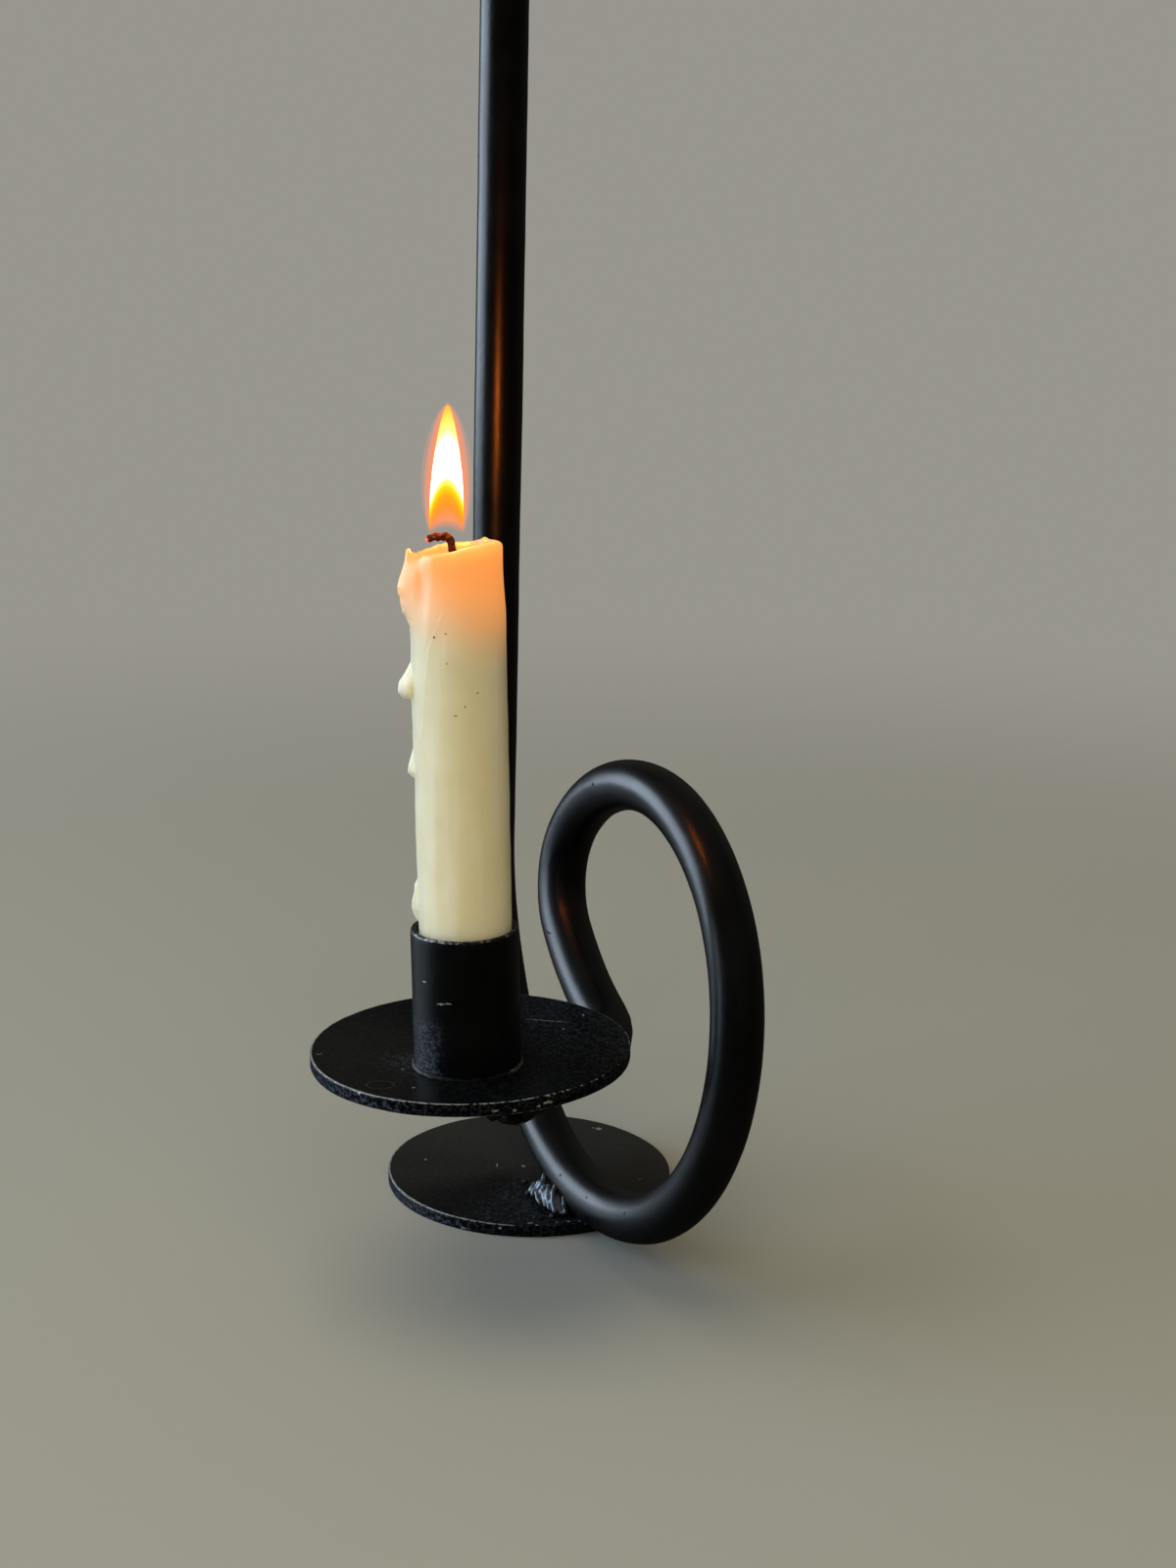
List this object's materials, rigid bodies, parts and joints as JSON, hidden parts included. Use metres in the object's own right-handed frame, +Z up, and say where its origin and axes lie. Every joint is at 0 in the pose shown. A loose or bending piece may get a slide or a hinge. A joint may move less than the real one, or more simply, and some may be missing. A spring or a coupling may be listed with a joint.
{
  "type": "double candle holder",
  "caption": "Candle holder of round iron bar bent into a carrying loop on a flat base disc, with a drip dish and cup low in front holding a candle, and a dish and cup on top",
  "frame": {"origin": "centre of the base disc's underside, on the table", "axes": "+Z up; the stem stands behind the base's centre (+Y) and the loop and the lower dish reach out in front (-Y); +X is to the right seen from the front"},
  "size_m": [0.1066, 0.1773, 0.3733],
  "materials": {
    "black_paint": "satin black paint over iron, worn bright on the discs' rims",
    "weld_metal": "rippled arc weld and brazed seams, partly painted",
    "candle_wax": "smooth ivory candle wax with drips",
    "charred_wick": "charred cotton cord"
  },
  "bodies": {
    "holder": {"base_disc": "black_paint", "bent_bar": "black_paint", "base_weld": "weld_metal", "tail_weld": "weld_metal", "lower_dish": "black_paint", "lower_cup": "black_paint", "lower_cup_seam": "weld_metal", "stem_weld": "weld_metal", "upper_dish": "black_paint", "upper_cup": "black_paint", "upper_cup_seam": "weld_metal"},
    "candle": {"candle": "candle_wax", "wick": "charred_wick"}
  },
  "joints": [
    {"name": "candle_lift", "type": "slide", "parent": "holder", "child": "candle", "axis": [-0.0346, -0.0004, 0.9994], "range_m": [0, 0.033]}
  ]
}
